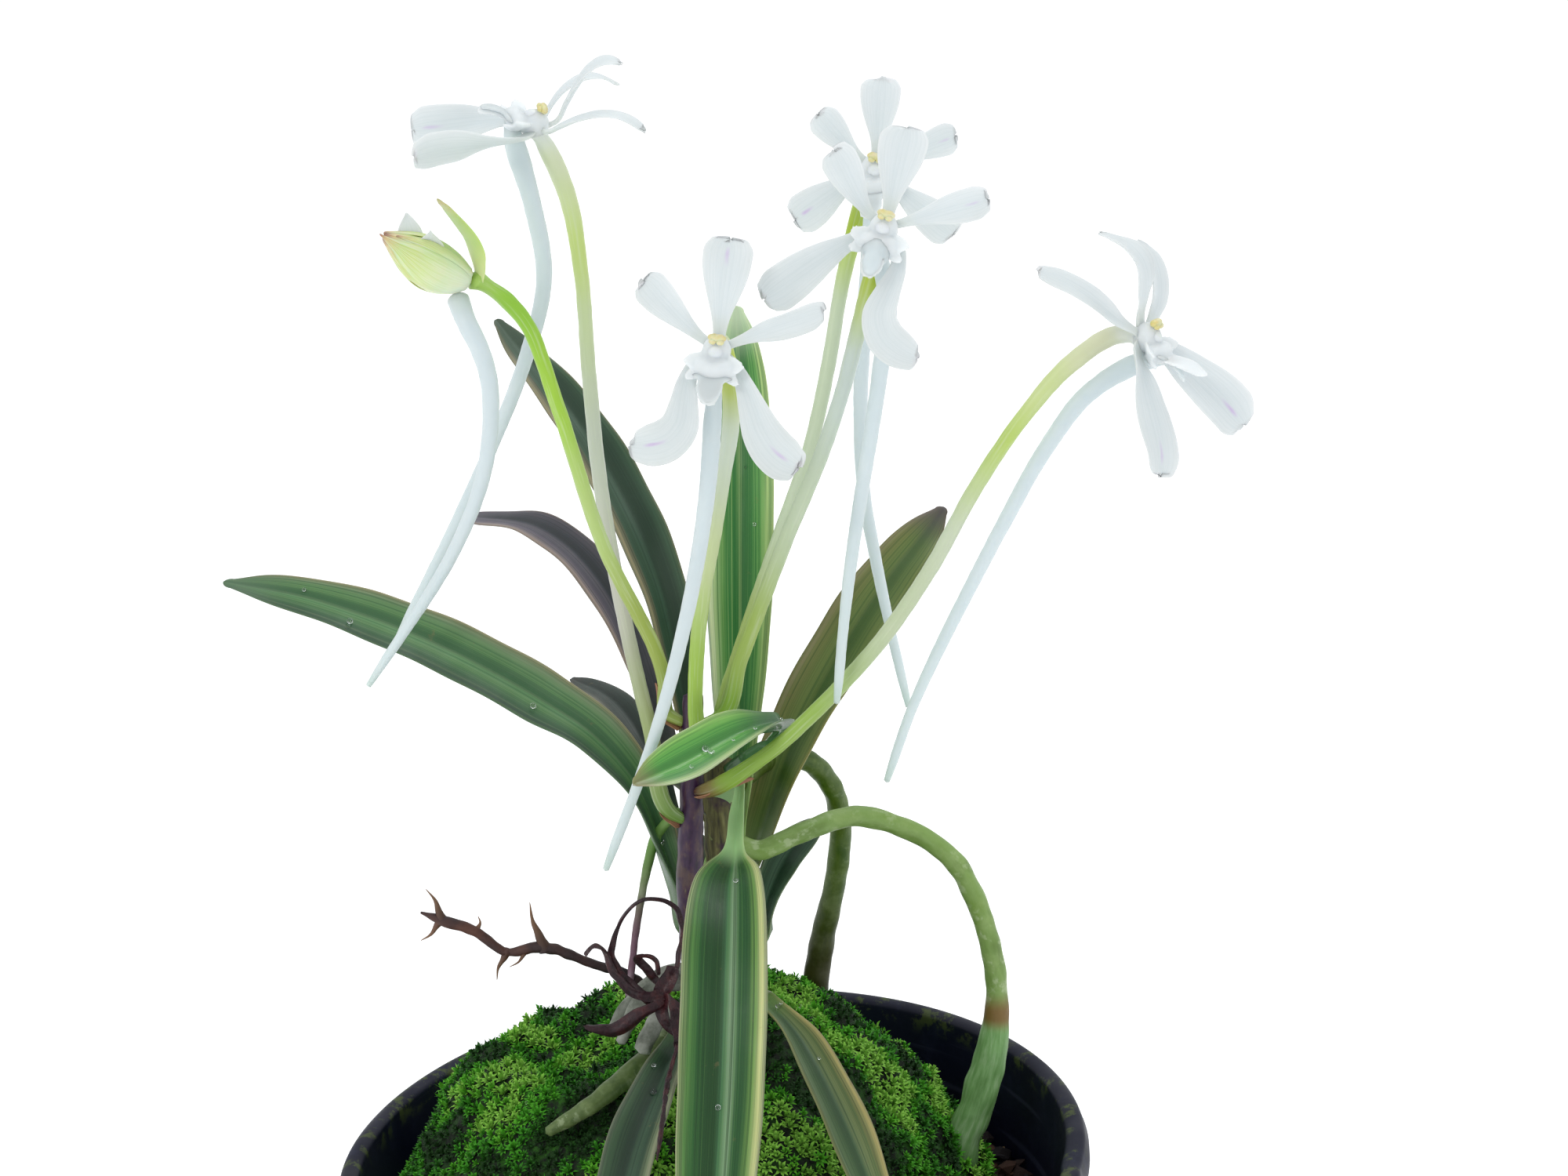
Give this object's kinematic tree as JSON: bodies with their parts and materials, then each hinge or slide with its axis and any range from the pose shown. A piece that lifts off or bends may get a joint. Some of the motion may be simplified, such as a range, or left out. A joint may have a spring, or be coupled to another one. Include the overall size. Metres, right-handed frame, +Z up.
{
  "type": "potted orchid",
  "caption": "Flowering falcate orchid with long-spurred white flowers and striped arching leaves, growing in moss in a round tapered nursery pot.",
  "frame": {"origin": "centre of the pot's underside, on the surface it stands on", "axes": "+Z up along the pot's axis, -Y toward the side the front flower faces, +X to the right of that view"},
  "size_m": [0.122, 0.0946, 0.2079],
  "materials": {
    "pot": "satin",
    "growing_medium": "matte",
    "stem": "satin",
    "rachis": "satin",
    "root": "satin",
    "leaf_front": "satin",
    "leaf_upright": "satin",
    "leaf_upper_left": "satin",
    "leaf_middle_left": "satin",
    "leaf_big_left": "satin",
    "leaf_right": "satin",
    "leaf_lower_right_rear": "satin",
    "leaf_curled": "satin",
    "leaf_lower_left": "satin",
    "leaf_lower_right": "satin",
    "leaf_small_rear": "satin",
    "tepal": "satin",
    "lip_and_spur": "satin",
    "flower_stalk": "satin",
    "bud": "satin",
    "dried_flower": "matte",
    "twig": "matte",
    "moss": "matte"
  },
  "bodies": {
    "root": {"pot": "pot", "growing_medium": "growing_medium", "stem": "stem", "rachis": "rachis", "arching_root": "root", "rear_root": "root", "lying_root": "root", "leaf_front": "leaf_front", "leaf_upright": "leaf_upright", "leaf_upper_left": "leaf_upper_left", "leaf_middle_left": "leaf_middle_left", "leaf_big_left": "leaf_big_left", "leaf_right": "leaf_right", "leaf_lower_right_rear": "leaf_lower_right_rear", "leaf_curled": "leaf_curled", "leaf_lower_left": "leaf_lower_left", "leaf_lower_right": "leaf_lower_right", "leaf_small_rear": "leaf_small_rear", "front_flower_dorsal_sepal": "tepal", "front_flower_left_petal": "tepal", "front_flower_right_petal": "tepal", "front_flower_left_lateral_sepal": "tepal", "front_flower_right_lateral_sepal": "tepal", "front_flower_lip_and_spur": "lip_and_spur", "front_flower_stalk_and_column": "flower_stalk", "upper_flower_dorsal_sepal": "tepal", "upper_flower_left_petal": "tepal", "upper_flower_right_petal": "tepal", "upper_flower_left_lateral_sepal": "tepal", "upper_flower_right_lateral_sepal": "tepal", "upper_flower_lip_and_spur": "lip_and_spur", "upper_flower_stalk_and_column": "flower_stalk", "rear_flower_dorsal_sepal": "tepal", "rear_flower_left_petal": "tepal", "rear_flower_right_petal": "tepal", "rear_flower_left_lateral_sepal": "tepal", "rear_flower_right_lateral_sepal": "tepal", "rear_flower_lip_and_spur": "lip_and_spur", "rear_flower_stalk_and_column": "flower_stalk", "left_flower_dorsal_sepal": "tepal", "left_flower_left_petal": "tepal", "left_flower_right_petal": "tepal", "left_flower_left_lateral_sepal": "tepal", "left_flower_right_lateral_sepal": "tepal", "left_flower_lip_and_spur": "lip_and_spur", "left_flower_stalk_and_column": "flower_stalk", "right_flower_dorsal_sepal": "tepal", "right_flower_left_petal": "tepal", "right_flower_right_petal": "tepal", "right_flower_left_lateral_sepal": "tepal", "right_flower_right_lateral_sepal": "tepal", "right_flower_lip_and_spur": "lip_and_spur", "right_flower_stalk_and_column": "flower_stalk", "bud_body": "bud", "bud_open_sepal": "bud", "bud_spur": "lip_and_spur", "bud_stalk": "flower_stalk", "dried_flower": "dried_flower", "thorny_twig": "twig", "moss": "moss"}
  },
  "joints": []
}
